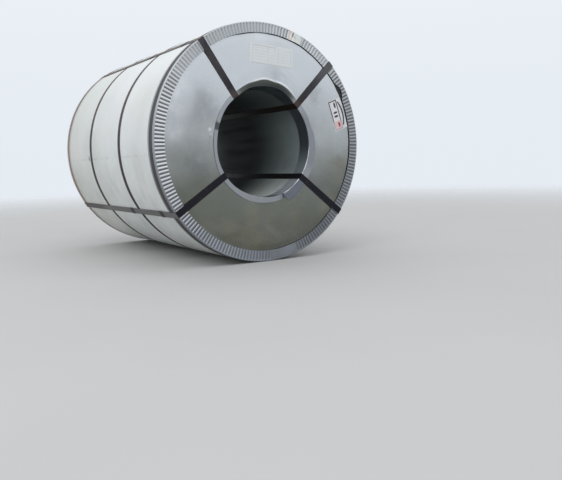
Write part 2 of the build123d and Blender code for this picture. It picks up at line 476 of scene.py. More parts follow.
def ring_material():
    """The fluted outer rings: grime and painted shade in the flutes' hollows, painted highlights on
    their crests, and paint marks on the upper lap.
    """
    material, surface, where, at, colour = galvanised_material(
        "ring_sheet", (0.53, 0.55, 0.555), (0.29, 0.31, 0.345), 0.2, 30.0, 0.28
    )
    phase = times(at["Bearing"], flute_count / (2 * math.pi))
    saw = scaled(maths("FRACT", phase), 2.0, -1.0)
    hollow = ranged(minus(1.0, maths("ABSOLUTE", saw)), 0.45, 0.7)
    inside_rim = ranged(at["Radius"], 0.5465, 0.543)
    # Flute hollows inside the rim are darkened, partly grime and partly painted shade
    hollow_grime_and_shade_places = times(inside_rim, hollow)
    for lap, arc in smooth_laps:
        hollow_grime_and_shade_places = times(hollow_grime_and_shade_places, minus(1.0, angle_mask(at, lap, arc / 2, 0.6)))
    number = put("ShaderNodeTexWhiteNoise", {"W": maths("FLOOR", phase)}, noise_dimensions="1D")
    uneven = ranged(number.outputs["Value"], 0.0, 1.0, 0.7, 1.0, "LINEAR")
    # Angle, half width and softness of the stretches where the flutes' grime and painted shade are
    # lighter
    lighter_hollow_stretches = ((138.0, 5.0, 8.0), (100.0, 14.0, 26.0), (54.0, 6.0, 8.0), (-98.0, 18.0, 20.0))
    lighter_hollows = 0.0
    for angle, half_width, softness in lighter_hollow_stretches:
        lighter_hollows = plus(lighter_hollows, angle_mask(at, angle, half_width, softness))
    hollow_grime_and_shade = times(hollow_grime_and_shade_places, uneven, scaled(lighter_hollows, -0.55, 0.8))
    # Painted highlights on the flutes' crests, strongest on the left side and weaker on the right
    at_right = times(angle_mask(at, -5.0, 30.0, 20.0), 0.25)
    lit = maths("MAXIMUM", angle_mask(at, 180.0, 8.0, 52.0), at_right)
    painted_crest_highlight = times(times(inside_rim, ranged(hollow, 0.3, 0.0)), lit, uneven)
    duller = times(angle_mask(at, -12.0, 42.0, 14.0), inside_rim)
    front = front_mask(at)
    dabs = times(angle_mask(at, 69.8, 3.2, 1.6), front, patchy(where, 34.0, 0.36, 0.5, 35.0, 4.0))
    red = times(angle_mask(at, 73.0, 0.5, 0.8), front, patchy(where, 34.0, 0.4, 0.52, 36.0))
    off_end = minus(package_end - 0.004, maths("ABSOLUTE", at["Along"]))
    on_barrel = times(ranged(at["Radius"], 0.5492, 0.5496), ranged(off_end, -0.001, 0.001))
    colour = painted(
        colour,
        (hollow_grime_and_shade, 1.0, (0.035, 0.037, 0.045)),
        (painted_crest_highlight, 0.88, (0.95, 0.96, 0.97)),
        (duller, 0.35, (0.12, 0.125, 0.135)),
        (dabs, 0.85, (0.84, 0.87, 0.83)),
        (red, 0.75, (0.8, 0.64, 0.6)),
        (on_barrel, 0.55, (0.22, 0.235, 0.25)),
        (times(on_barrel, ranged(at["Along"], 0.5, 0.6)), 0.85, (0.7, 0.7, 0.66)),
    )
    metal = ranged(maths("MAXIMUM", hollow_grime_and_shade, dabs), 0.0, 1.0, 0.95, 0.2)
    feed_all(surface, Base_Color=colour, Metallic=metal)
    return material


def mouth_ring_material():
    """The inner rings: lavender sheet, with painted shade where a hook bent it, painted shade and light
    on the leg in the bore, and a painted highlight along the rim.
    """
    material, surface, where, at, colour = galvanised_material(
        "mouth_ring_sheet", (0.37, 0.385, 0.405), (0.33, 0.345, 0.365), 0.2, 40.0, 0.3
    )
    depth = maths("ABSOLUTE", at["Along"])
    front = front_mask(at)

    def front_part(angle, half_width, softness):
        return times(angle_mask(at, angle, half_width, softness), front)

    drawn = mask_of(fine_streaks, at["Unrolled"], Stretch=(4.0, 4.0, 260.0), Seed=46.0)
    flap_tint = mixed(drawn, (0.10, 0.113, 0.14), (0.22, 0.235, 0.28))
    # The leg in the bore is dull and painted dark as shade, and painted lighter low on the right where
    # the daylight reaches it
    in_bore = ranged(depth, leg_face - 0.001, leg_face - 0.006)
    # A painted highlight on the rim's bend, low on the right
    off_rim = apart(at["Radius"], bore_radius + 0.0004)
    rim = mask_of(edge_wear, where, Distance=off_rim, Width=0.0028, Scale=24.0, Seed=45.0)
    on_face = ranged(depth, leg_face - 0.004, leg_face - 0.002)
    painted_rim_highlight = times(rim, front_part(-36.0, 26.0, 10.0), on_face)
    # On the face: painted shade on the band the hook bent and on the knock at 162 degrees, a darker
    # right side, the flap's streaked tint, and a painted shadow beside the flap's cut end; in the bore,
    # painted shade and painted light; on the rim, a painted highlight
    colour = painted(
        colour,
        (front_part(86.0, 28.0, 14.0), 0.92, (0.085, 0.095, 0.078)),
        (front_part(162.0, 2.5, 3.0), 0.8, (0.04, 0.04, 0.045)),
        (front_part(4.0, 22.0, 14.0), 0.4, (0.17, 0.18, 0.2)),
        (front_part(-55.0, 12.0, 9.0), 0.85, flap_tint),
        (front_part(-68.6, 0.4, 0.9), 0.85, (0.03, 0.035, 0.05)),
        (in_bore, 0.93, (0.028, 0.038, 0.044)),
        (times(in_bore, front_part(-42.0, 14.0, 30.0)), 0.9, (0.2, 0.235, 0.26)),
        (times(in_bore, front_part(-58.0, 11.0, 8.0)), 0.9, (0.34, 0.36, 0.4)),
        (painted_rim_highlight, 1.0, (0.95, 0.96, 0.97)),
    )
    dull = maths("MAXIMUM", in_bore, times(painted_rim_highlight, 0.8))
    feed_all(surface, Base_Color=colour, Metallic=ranged(dull, 0.0, 1.0, 0.95, 0.1))
    return material


def strap_material(name, edge_distance, tint_places, seed):
    """Blue-black painted steel strap, worn to brown and bare metal along its edges."""
    material, surface, where = new_material(name, Specular_IOR_Level=0.12)
    faded = patchy(where, 5.0, 0.4, 0.7, seed)
    colour = mixed(faded, (0.012, 0.013, 0.02), (0.021, 0.018, 0.02))
    edge = edge_distance(where)
    worn = mask_of(edge_wear, where, Distance=edge, Width=0.001, Scale=70.0, Seed=seed + 1)
    scuff = patchy(where, 24.0, 0.6, 0.68, seed + 2, 6.0)
    scratch = mask_of(hairline_scratches, where, Scale=9.0, Amount=0.8, Seed=seed + 3)
    # The straps are lighter and rougher high up, and not at all in the bore
    radius = place(round_the_axis, Vector=where)["Radius"]
    out_of_bore = ranged(radius, bore_radius + 0.001, bore_radius + 0.004)
    high_and_out_of_bore = times(ranged(split(where)["Z"], 0.5, 1.05), out_of_bore)
    lighter_high_up = times(high_and_out_of_bore, scaled(patchy(where, 16.0, 0.3, 0.75, seed + 4, 5.0), 0.6, 0.4))
    colour = painted(
        colour,
        *tint_places(where),
        (worn, 0.6, (0.15, 0.09, 0.07)),
        (scuff, 0.35, (0.09, 0.075, 0.07)),
        (scratch, 1.0, (0.3, 0.29, 0.29)),
        (lighter_high_up, 0.45, (0.16, 0.158, 0.175)),
    )
    roughness = scaled(plus(scuff, lighter_high_up), 0.2, 0.4)
    height = minus(times(noise(where, 420.0, 3.0), 0.3), plus(scratch, worn))
    finish_surface(surface, colour, roughness, height, 0.4, 0.0004, times(scratch, 0.9))
    return material


def inside_edge(offs):
    """Distance to the edge of the nearest strap, from the distances to the middles of them all."""
    nearest = 1.0
    for off in offs:
        nearest = maths("MINIMUM", nearest, off)
    return minus(strap_width / 2, nearest)


def eye_strap_edges(where):
    """Distance to the nearer edge of the strap through the bore that a point is on."""
    parts = split(where)
    rise = minus(parts["Z"], axis_height)
    turns = [math.radians(angle) for angle in eye_strap_angles]
    return inside_edge(
        apart(times(parts["X"], math.sin(turn)), times(rise, math.cos(turn))) for turn in turns
    )


def eye_strap_tints(where):
    """Brown at the upper mouth corners, black in the bore as a painted shade, and grey along the barrel
    as a painted reflection of the sky.
    """
    at = place(round_the_axis, Vector=where)
    upper_mouth = times(ranged(at["Radius"], 0.31, 0.262), ranged(at["Rise"], 0.02, 0.12))
    upper_right = angle_mask(at, eye_strap_angles[1], 8.0, 2.0)
    on_barrel = ranged(at["Radius"], 0.549, 0.5505)
    return (
        (times(ranged(at["Radius"], 0.36, 0.5), upper_right), 0.75, (0.125, 0.13, 0.13)),
        (upper_mouth, 0.8, (0.075, 0.048, 0.036)),
        # Painted shade in the bore
        (ranged(at["Radius"], 0.256, 0.2525), 0.8, (0.009, 0.007, 0.007)),
        # A painted reflection of the sky along the barrel
        (on_barrel, 0.8, (0.19, 0.195, 0.19)),
        (times(on_barrel, ranged(at["Along"], 0.22, 0.4)), 0.75, (0.05, 0.045, 0.043)),
        (times(on_barrel, ranged(at["Rise"], 0.3, 0.45)), 0.6, (0.2, 0.14, 0.11)),
    )


def girth_strap_edges(where):
    """Distance to the nearer edge of the strap round the barrel that a point is on."""
    along = split(where)["Y"]
    return inside_edge(apart(along, middle) for middle in girth_strap_places)


def girth_strap_tints(where):
    """Rust on the rear strap, and a little on the upper side of the middle ones."""
    parts = split(where)
    upper_middle = times(ranged(parts["Y"], -0.5, -0.3), ranged(parts["Z"], 0.5, 0.95))
    return (
        (ranged(parts["Y"], 0.4, 0.6), 0.9, (0.34, 0.23, 0.195)),
        (upper_middle, 0.45, (0.16, 0.11, 0.09)),
        (ranged(parts["Y"], -0.6, -0.62), 0.5, (0.085, 0.08, 0.085)),
    )


def seal_material():
    """Black pressed seals with bare metal on their high spots."""
    material, surface, where = new_material("seal_steel", Specular_IOR_Level=0.2)
    patch = patchy(where, 60.0, 0.45, 0.65, 60.0, 5.0)
    scratch = mask_of(hairline_scratches, where, Scale=30.0, Width=0.03, Amount=0.9, Seed=61.0)
    colour = mixed(patch, (0.01, 0.011, 0.011), (0.03, 0.03, 0.028))
    colour = painted(colour, (scratch, 1.0, (0.4, 0.39, 0.38)))
    height = minus(noise(where, 500.0, 3.0), scratch)
    finish_surface(surface, colour, scaled(patch, 0.2, 0.38), height, 0.3, 0.0003, times(scratch, 0.9))
    return material


def bore_material():
    """The bore's lining, dull grey-green sheet, with painted light low down and painted shade at its top
    and deep inside, dustier towards the mouths.
    """
    material, surface, where = new_material("bore_sheet", Specular_IOR_Level=0.08)
    at = place(round_the_axis, Vector=where)
    rubs = mask_of(fine_streaks, at["Unrolled"], Stretch=(22.0, 1.4, 1.0), Low=0.45, Seed=70.0)
    patch = patchy(where, 4.0, 0.35, 0.7, 71.0)
    inner = ranged(maths("ABSOLUTE", at["Along"]), 0.5, 0.1)
    dirt = mask_of(settled_dirt, where, Top=0.8, Bottom=0.28, Scale=10.0, Amount=0.3, Seed=72.0)
    dirt = times(dirt, minus(1.0, inner))
    # Painted light low in the bore, painted shade at its top and deep inside, and dust only towards the
    # mouths
    colour = painted(
        mixed(patch, (0.31, 0.365, 0.365), (0.27, 0.32, 0.33)),
        (rubs, 0.1, (0.45, 0.48, 0.44)),
        (ranged(at["Rise"], -0.1, -0.24), 0.9, (0.62, 0.68, 0.65)),
        (ranged(at["Rise"], 0.06, 0.21), 0.8, (0.06, 0.07, 0.065)),
        (inner, 0.93, (0.015, 0.019, 0.021)),
        (dirt, 1.0, (0.2, 0.18, 0.14)),
    )
    roughness = scaled(plus(rubs, dirt), 0.15, 0.5)
    height = scaled(rubs, 0.15, noise(where, 5.0, 2.0, 0.5, 73.0))
    finish_surface(surface, colour, roughness, height, 0.1, 0.002, ranged(inner, 0.0, 1.0, 0.2, 0.0))
    return material


def strip_material():
    """Bare wound strip, with its turns showing as fine rings on the ends."""
    material, surface, where = new_material("wound_strip")
    at = place(round_the_axis, Vector=where)
    turns = place(fine_streaks, Vector=at["Unrolled"], Stretch=(1.2, 1.0, 700.0), Seed=80.0)
    patch = patchy(where, 6.0, 0.4, 0.65, 81.0)
    colour = mixed(turns["Mask"], (0.3, 0.3, 0.3), (0.55, 0.55, 0.56))
    colour = painted(colour, (patch, 0.3, (0.35, 0.3, 0.24)))
    metal = ranged(patch, 0.0, 1.0, 0.95, 0.7)
    finish_surface(surface, colour, scaled(patch, 0.2, 0.3), turns["Tone"], 0.6, 0.001, metal)
    return material


def page_places(tree):
    return split(put("ShaderNodeUVMap", tree=tree, uv_map="page").outputs[0])


def boxed(page, left, right, low, high, softness=0.008):
    """One inside a box of a page, and nought outside it."""
    width = span_mask(page["X"], (left + right) / 2, (right - left) / 2, softness)
    height = span_mask(page["Y"], (low + high) / 2, (high - low) / 2, softness)
    return times(width, height)


def paper_material():
    """A pale pasted form, ruled in faint rows and left blank."""
    material, surface, where = new_material("label_paper", Specular_IOR_Level=0.3)
    page = page_places(material.node_tree)
    patch = patchy(where, 14.0, 0.4, 0.65, 90.0, 4.0)
    colour = mixed(patch, (0.775, 0.82, 0.835), (0.79, 0.825, 0.82))
    rows = maths("FRACT", times(page["Y"], 7.0))
    ruled = times(ranged(apart(rows, 0.5), 0.16, 0.06), boxed(page, 0.06, 0.95, 0.1, 0.86))
    worn = mask_of(fine_streaks, where, Stretch=(70.0, 1.0, 30.0), Low=0.42, High=0.55, Seed=91.0)
    columns = [boxed(page, x - 0.002, x + 0.002, 0.1, 0.9) for x in (0.07, 0.42, 0.66, 0.95)]
    colour = painted(
        colour,
        (times(ruled, worn), 0.3, (0.45, 0.45, 0.46)),
        *[(column, 0.3, (0.42, 0.42, 0.43)) for column in columns],
        (boxed(page, 0.08, 0.6, 0.88, 0.92), 0.55, (0.55, 0.49, 0.47)),
        (boxed(page, 0.05, 0.97, 0.0, 0.05), 0.35, (0.42, 0.42, 0.43)),
    )
    grain = noise(where, 900.0, 3.0)
    finish_surface(surface, colour, scaled(patch, 0.15, 0.45), grain, 0.15, 0.0003)
    return material


def sticker_material():
    """A white sticker with plain printed shapes in a frame, and one curved bar."""
    material, surface, where = new_material("sticker_film", Coat_Weight=0.15)
    page = page_places(material.node_tree)
    patch = patchy(where, 40.0, 0.4, 0.65, 95.0, 4.0)
    black, red, pink = (0.025, 0.025, 0.03), (0.35, 0.05, 0.07), (0.75, 0.42, 0.42)
    outline = minus(boxed(page, 0.03, 0.65, 0.02, 0.98), boxed(page, 0.1, 0.58, 0.055, 0.945))
    colour = painted(
        mixed(patch, (0.80, 0.80, 0.82), (0.72, 0.73, 0.75)),
        (boxed(page, 0.075, 0.64, 0.02, 0.3), 0.6, pink),
        (times(outline, ranged(page["Y"], 0.2, 0.4, 0.35, 1.0)), 1.0, black),
    )
    # Printed ovals: place on the page, half sizes and ink
    ovals = (
        (0.44, 0.82, 0.07, 0.10, black),
        (0.36, 0.585, 0.16, 0.035, black),
        (0.36, 0.46, 0.16, 0.035, black),
        (0.42, 0.17, 0.08, 0.09, red),
    )
    for x, y, half_wide, half_high, ink in ovals:
        off_x = maths("DIVIDE", minus(page["X"], x), half_wide)
        off_y = maths("DIVIDE", minus(page["Y"], y), half_high)
        square = scaled(off_x, off_x, times(off_y, off_y))
        colour = painted(colour, (ranged(square, 1.1, 0.85), 1.0, ink))
    bend = minus(page["Y"], 0.5)
    curve = scaled(times(bend, bend), -1.1, 0.9)
    bar = span_mask(minus(page["X"], curve), 0.0, 0.05, 0.02)
    bar = times(bar, boxed(page, 0.6, 1.0, 0.12, 0.88, 0.03))
    rub = patchy(where, 160.0, 0.62, 0.68, 96.0)
    colour = painted(colour, (bar, 1.0, black), (rub, 0.5, (0.76, 0.77, 0.78)))
    finish_surface(surface, colour, scaled(patch, 0.1, 0.35), rub, 0.1, 0.0002)
    return material


# Shapes


def cos_sin(angle):
    return math.cos(math.radians(angle)), math.sin(math.radians(angle))


def smooth_step(value, low, high):
    share = np.clip((value - low) / (high - low), 0, 1)
    return share * share * (3 - 2 * share)


def bump_at(angles, middle, half_width):
    """A smooth bump round an angle, in degrees."""
    off = np.abs((angles - middle + 180) % 360 - 180)
    return np.cos(np.clip(off / half_width, 0, 1) * math.pi / 2) ** 2


def wave(angles, count, shift=0):
    """A sine wave with a whole number of crests round the coil."""
    return np.sin(np.radians(angles * count + shift))


def arc_points(centre, radius, start, end, steps):
    """Points of an arc in a profile, with its angles in degrees."""
    turns = [math.radians(start + (end - start) * step / steps) for step in range(steps + 1)]
    return [(centre[0] + radius * math.cos(turn), centre[1] + radius * math.sin(turn)) for turn in turns]


def row_of(start, end, steps):
    """Points in a straight row between two points of a profile, both included."""
    return [tuple(a + (b - a) * step / steps for a, b in zip(start, end)) for step in range(steps + 1)]


def offset_line(line, thickness):
    """The other side of a sheet whose visible side is a line, on the left of its run."""
    points = np.array(line)
    ways = np.diff(points, axis=0)
    ways /= np.linalg.norm(ways, axis=1)[:, None]
    lefts = np.stack([-ways[:, 1], ways[:, 0]], 1)
    before, after = np.vstack([lefts[:1], lefts]), np.vstack([lefts, lefts[-1:]])
    across = before + after
    across /= np.maximum((across * before).sum(1), 0.5)[:, None]
    return [tuple(point) for point in points + across * thickness]


def add_object(name, data):
    made = bpy.data.objects.new(name, data)
    bpy.context.scene.collection.objects.link(made)
    return made


def add_mesh(name, points, quads, material, sharp=35):
    """A closed piece that faces outwards, smooth but for its sharp edges."""
    a, b, c, d = (points[quads[:, corner]] - points[0] for corner in range(4))
    volume = (a * np.cross(b, c)).sum() + (a * np.cross(c, d)).sum()
    if volume < 0:
        quads = quads[:, ::-1]
    mesh = bpy.data.meshes.new(name)
    mesh.from_pydata(points.tolist(), [], quads.tolist())
    mesh.shade_smooth()
    mesh.set_sharp_from_angle(angle=math.radians(sharp))
    mesh.materials.append(material)
    return add_object(name, mesh)


def settle(piece, slot, *nodes):
    """Puts a finished piece on the coil's one body, in place of the model's nodes."""
    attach(piece, "root")
    if nodes:
        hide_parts(*nodes)


def turned_piece(
    name, line, side, material, span=(0, 360), steps=turn_steps, shape=None, back=None, sharp=35
):
    """A line of (radius, distance from the middle) turned round the axis, with a sheet's thickness."""
    loop = np.array(line + (back or offset_line(line, sheet))[::-1])
    whole = span[1] - span[0] >= 360
    rows = steps if whole else steps + 1
    angles = np.linspace(span[0], span[1], steps + 1)[:rows, None] + np.zeros((1, len(loop)))
    radius = loop[None, :, 0] + np.zeros_like(angles)
    out = loop[None, :, 1] + np.zeros_like(angles)
    if shape is not None:
        radius, out, angles = shape(radius, out, angles)
    turns = np.radians(angles)
    points = np.stack([radius * np.cos(turns), side * out, axis_height + radius * np.sin(turns)], -1)
    numbers = np.arange(rows * len(loop)).reshape(rows, len(loop))
    here = numbers if whole else numbers[:-1]
    there = np.roll(numbers, -1, 0) if whole else numbers[1:]
    quads = [np.stack([here, there, np.roll(there, -1, 1), np.roll(here, -1, 1)], -1).reshape(-1, 4)]
    if not whole:
        half = len(line)
        for row, way in ((numbers[0], 1), (numbers[-1], -1)):
            visible, hidden = row[:half], row[half:][::-1]
            cap = np.stack([visible[:-1], visible[1:], hidden[1:], hidden[:-1]], -1)
            quads.append(cap[:, ::way])
    return add_mesh(name, points.reshape(-1, 3), np.vstack(quads), material, sharp)


# Damage from the hook that lifts the coil, at the top of the front mouth: angle, half width, push
hook_marks = ((100.0, 24.0, 0.010), (71.0, 29.0, 0.018))
torn_place, torn_half_width, torn_push = 88.0, 13.0, 0.007
# How far in the damage reaches, where it fades out over the face, and the push that fully raises the lip
hook_reach_in = 0.09
hook_fade_start, hook_fade_end = 0.29, 0.35
full_lip_push = 0.014
lip_height, lip_width, lip_from_leg = 0.0034, 0.0045, 0.0035
# Knocks on the front mouth's leg: angle, half width, how deep
mouth_knocks = ((162.0, 5.0, 0.0014), (18.0, 7.0, 0.0012))


def hook_push(angles):
    return sum(push * bump_at(angles, middle, half_width) for middle, half_width, push in hook_marks)


def mouth_knock(angles):
    return sum(deep * bump_at(angles, middle, half_width) for middle, half_width, deep in mouth_knocks)


def torn_lip(radius, angles):
    """How far the cover stands up just past the mouth ring's leg, where the hook crumpled it."""
    crumpled = 0.68 + 0.32 * wave(angles, 29) * wave(angles, 13, 20)
    crumpled = crumpled * (1 - 0.55 * smooth_step(angles, 92, 108))
    share = np.clip(hook_push(angles) / full_lip_push, 0, 1) * crumpled
    share = share * smooth_step(radius, leg_radius - 0.0005, leg_radius + 0.002)
    return lip_height * share * np.exp(-(((radius - leg_radius - lip_from_leg) / lip_width) ** 2))


def pushed_by_hook(radius, out, angles):
    """Moves the mouth's edge outwards and in, fading out along the bore and over the face."""
    push = hook_push(angles) * smooth_step(out, coil_end - hook_reach_in, coil_end)
    fade = 1 - smooth_step(radius, hook_fade_start, hook_fade_end)
    inwards = 0.5 * (1 - smooth_step(radius, bore_radius, leg_radius))
    torn = torn_push * bump_at(angles, torn_place, torn_half_width)
    torn = torn * smooth_step(radius, bore_radius + 0.004, leg_radius) * fade * (out > coil_end)
    return radius + push * fade + torn, out - push * inwards, angles


# Outer rings: a plain lathe sheet, fluted by Geometry Nodes


def fluting_group():
    """Presses flutes into the face leg of a ring of sheet, apart from its laps."""
    inputs = {
        "Geometry": "Geometry",
        "Flutes": flute_count,
        "Depth": flute_depth,
        "Crest Share": 0.3,
        "Corner Radius": ring_radius - 0.004,
        "Corner Fade": 0.005,
        "First Lap": smooth_laps[0][0],
        "First Arc": smooth_laps[0][1],
        "Second Lap": smooth_laps[1][0],
        "Second Arc": smooth_laps[1][1],
        "Axis Height": axis_height,
        "Side": -1.0,
        "Unevenness": 0.2,
        "Seed": 3,
        "Material": "Material",
    }
    tree, given, out = new_group("fluting", inputs, {"Geometry": "Geometry"}, "GeometryNodeTree")
    at = split(put("GeometryNodeInputPosition", tree=tree).outputs[0])
    rise = minus(at["Z"], given["Axis Height"])
    radius = maths("SQRT", scaled(rise, rise, times(at["X"], at["X"])))
    angle = maths("ARCTAN2", rise, at["X"])
    phase = maths("DIVIDE", times(angle, given["Flutes"]), 2 * math.pi)
    ridge = minus(1.0, maths("ABSOLUTE", scaled(maths("FRACT", phase), 2.0, -1.0)))
    pressed = ranged(ridge, given["Crest Share"], minus(1.0, given["Crest Share"]))
    inner = minus(given["Corner Radius"], given["Corner Fade"])
    share = times(pressed, ranged(radius, given["Corner Radius"], inner))
    # The flutes fade in beside each lap, over an angle in radians
    lap_fade = 0.012
    for lap in ("First", "Second"):
        off = turn_between(angle, maths("RADIANS", given[f"{lap} Lap"]))
        half = maths("RADIANS", times(given[f"{lap} Arc"], 0.5))
        share = times(share, ranged(off, half, plus(half, lap_fade)))
    number = put("FunctionNodeFloatToInt", {0: phase}, rounding_mode="FLOOR").outputs[0]
    chance = put("FunctionNodeRandomValue", {"ID": number, "Seed": given["Seed"]}).outputs[1]
    kept = minus(1.0, times(chance, given["Unevenness"]))
    move = times(share, kept, given["Depth"], given["Side"], -1.0)
    offset = put("ShaderNodeCombineXYZ", {"Y": move}).outputs[0]
    moved = put("GeometryNodeSetPosition", {"Geometry": given["Geometry"], "Offset": offset})
    real = put("GeometryNodeRealizeInstances", {0: moved.outputs[0]}).outputs[0]
    named = put("GeometryNodeSetMaterial", {"Geometry": real, "Material": given["Material"]})
    feed(out["Geometry"], named.outputs[0])
    return tree


def run_group(piece, group, **inputs):
    """Runs a Geometry Nodes group on a piece and keeps its result as a plain mesh."""
    modifier = piece.modifiers.new(group.name, "NODES")
    modifier.node_group = group
    for item in group.interface.items_tree:
        key = item.name.replace(" ", "_")
        if item.in_out == "INPUT" and key in inputs:
            modifier[item.identifier] = inputs[key]
    bpy.context.view_layer.update()
    seen = piece.evaluated_get(bpy.context.evaluated_depsgraph_get())
    result = bpy.data.meshes.new_from_object(seen)
    piece.modifiers.clear()
    plain, piece.data = piece.data, result
    bpy.data.meshes.remove(plain)
    result.name = piece.name


# The face leg starts at a corner. It is narrower at the upper right, and sprung back at one place:
# angle, half width, and share of the leg that is missing
ring_corner = ring_radius - 0.009
narrow_angle, narrow_half_width, narrow_share = 50.0, 100.0, 0.19
sprung_angle, sprung_half_width, sprung_share = 30.0, 6.5, 0.42
leg_wobble = 0.0004
ring_bend = 0.0032
ring_sharp_angle = 60
steps_per_flute = 12


def ring_leg_edge(angles, sprung=0.0):
    """Where the fluted leg ends: it is trimmed unevenly, and may be sprung back at one place."""
    narrow = narrow_share * bump_at(angles, narrow_angle, narrow_half_width)
    narrow = narrow + sprung * bump_at(angles, sprung_angle, sprung_half_width)
    waves = 0.015 * wave(angles, 7) + 0.01 * wave(angles, 17, 40)
    return ring_corner - (ring_corner - ring_leg_inside) * (1 - narrow - np.abs(waves))


def outer_ring(name, node, side, group, material):
    """A fluted angle ring of sheet with a rounded corner, over the end of the barrel."""
    corner = (ring_radius - ring_bend, package_end - ring_bend)
    line = [(ring_radius, ring_barrel_end)] + arc_points(corner, ring_bend, 0, 90, 5)
    # Close rows where the flutes start
    line += [(radius, package_end) for radius in (0.5455, 0.5435, 0.542)]
    line += row_of((ring_corner, package_end), (ring_leg_inside, package_end), 4)
    sprung = sprung_share if side == FRONT else 0.0

    def trimmed(radius, out, angles):
        # The face leg is cut back to its edge and lies a little out of line
        share = np.clip((ring_corner - radius) / (ring_corner - ring_leg_inside), 0, 1)
        cut_back = ring_corner - (ring_corner - ring_leg_edge(angles, sprung)) * share
        wobble = np.abs(leg_wobble * wave(angles, 11) * smooth_step(share, 0, 1))
        on_leg = radius < ring_corner
        return np.where(on_leg, cut_back, radius), np.where(on_leg, out - wobble, out), angles

    steps = flute_count * steps_per_flute
    piece = turned_piece(
        name, line, side, material, steps=steps, shape=trimmed, sharp=ring_sharp_angle
    )
    run_group(piece, group, Side=float(side), Material=material)
    piece.data.set_sharp_from_angle(angle=math.radians(ring_sharp_angle))
    settle(piece, "ring_sheet", node)


# End covers

# Dents in the covers: x, height over the axis, half length, half width, turn, how far they stand out
front_dents = (
    (-0.278, 0.052, 0.026, 0.006, 80, 0.0030),
    (-0.300, 0.090, 0.050, 0.020, 68, -0.0022),
    (-0.330, 0.150, 0.100, 0.035, 55, -0.0030),
    (-0.430, 0.205, 0.110, 0.040, -60, 0.0024),
    (-0.360, -0.060, 0.110, 0.060, 20, -0.0026),
    (0.250, 0.123, 0.016, 0.008, 65, 0.0022),
    (0.330, 0.080, 0.090, 0.035, 80, -0.0018),
    (0.420, -0.070, 0.060, 0.030, 110, 0.0020),
    (-0.265, -0.388, 0.022, 0.022, 0, 0.0010),
    (-0.203, -0.404, 0.040, 0.020, 10, 0.0014),
    (0.024, -0.419, 0.030, 0.012, 130, 0.0012),
    (0.060, -0.350, 0.100, 0.030, 95, 0.0012),
    (0.020, 0.362, 0.018, 0.008, 95, 0.0014),
    (0.045, 0.350, 0.016, 0.007, 60, -0.0012),
    (0.115, 0.323, 0.022, 0.008, 140, 0.0014),
    (-0.110, 0.300, 0.060, 0.025, 30, 0.0016),
    (0.200, 0.330, 0.070, 0.030, 130, -0.0018),
)
rear_dents = (
    (0.300, 0.080, 0.050, 0.020, 60, 0.0024),
    (-0.210, 0.260, 0.080, 0.030, 130, -0.0022),
    (-0.330, -0.120, 0.070, 0.035, 80, 0.0022),
    (0.120, -0.360, 0.080, 0.035, 10, 0.0020),
    (0.050, 0.400, 0.070, 0.030, 170, -0.0018),
    (0.380, -0.180, 0.060, 0.020, 35, 0.0016),
)


# How a cover lies: its bulge between two radii, a slow waviness, and how near a strap holds it down
bulge_height, bulge_start, bulge_end = 0.0026, 0.276, 0.5
waviness = 0.0006
strap_hold = 0.07
# A strap's back slopes from the mouth ring's leg to the outer ring's: its rise over a run
strap_rise, strap_run = 0.003, 0.224
# How deep the outer ring presses the sheet, and the radii between which it starts to
ring_hold, hold_start, hold_end = 0.0014, 0.47, 0.5


def strap_lines(x, rise):
    """Distance from the nearest strap over the face."""
    nearest = np.full(np.shape(x), 1.0)
    for angle in eye_strap_angles:
        c, s = cos_sin(angle)
        off = np.where(x * c + rise * s > 0, np.abs(x * s - rise * c), 1.0)
        nearest = np.minimum(nearest, off)
    return nearest


def cover_level(x, rise, dents):
    """How far a cover's outer side lies from the middle, at a place on it."""
    radius = np.hypot(x, rise)
    off_strap = strap_lines(x, rise)
    free = 1 - np.exp(-((off_strap / strap_hold) ** 2))
    share = np.clip((radius - bulge_start) / (bulge_end - bulge_start), 0, 1)
    level = cover_face + bulge_height * np.sin(share * math.pi) * free
    level = level + waviness * np.sin(x * 13 + 0.7) * np.sin(rise * 11 + 1.9) * free
    for at_x, at_rise, long, wide, turn, height in dents:
        c, s = cos_sin(turn)
        u = (x - at_x) * c + (rise - at_rise) * s
        v = (rise - at_rise) * c - (x - at_x) * s
        level = level + height * np.exp(-((u / long) ** 2) - (v / wide) ** 2)
    under_ring = smooth_step(radius, hold_start, hold_end)
    level = level + (cover_face - ring_hold - level) * under_ring
    # The straps hold the sheet down, and it can't reach past the coil's end or the rings
    strap_back = leg_face + 0.0001 + strap_rise * np.clip((radius - leg_radius) / strap_run, 0, 1)
    level = np.minimum(level, strap_back - 0.0002 + 0.1 * np.maximum(off_strap - 0.017, 0))
    return np.clip(level, coil_end + sheet + 0.0003, package_end - 0.0003)


def left_leg_edge(angles):
    """Where the face leg of the mouth ring's left-hand length ends."""
    return leg_radius - 0.010 * bump_at(angles, 174.0, 48.0) + 0.0006 * wave(angles, 9)


def right_leg_edge(angles):
    """Where the face leg of the right-hand length ends: it flares towards its cut end."""
    upper = 0.006 + 0.012 * (1 - smooth_step(angles, -8.0, 26.0))
    lower = 0.009 * (1 - smooth_step(angles, -60.0, -44.0))
    knock = -0.004 * bump_at(angles, 19.0, 6.0)
    return leg_radius + upper + lower + knock


right_length = (-67.0, 45.5)
left_length = (45.5, 302.0)


def inner_leg_edge(angles):
    """Where either length's face leg ends, whichever lies on top."""
    signed = (angles + 180) % 360 - 180
    on_right = (signed > right_length[0] + 1) & (signed < right_length[1])
    return np.where(on_right, right_leg_edge(signed), left_leg_edge(signed))


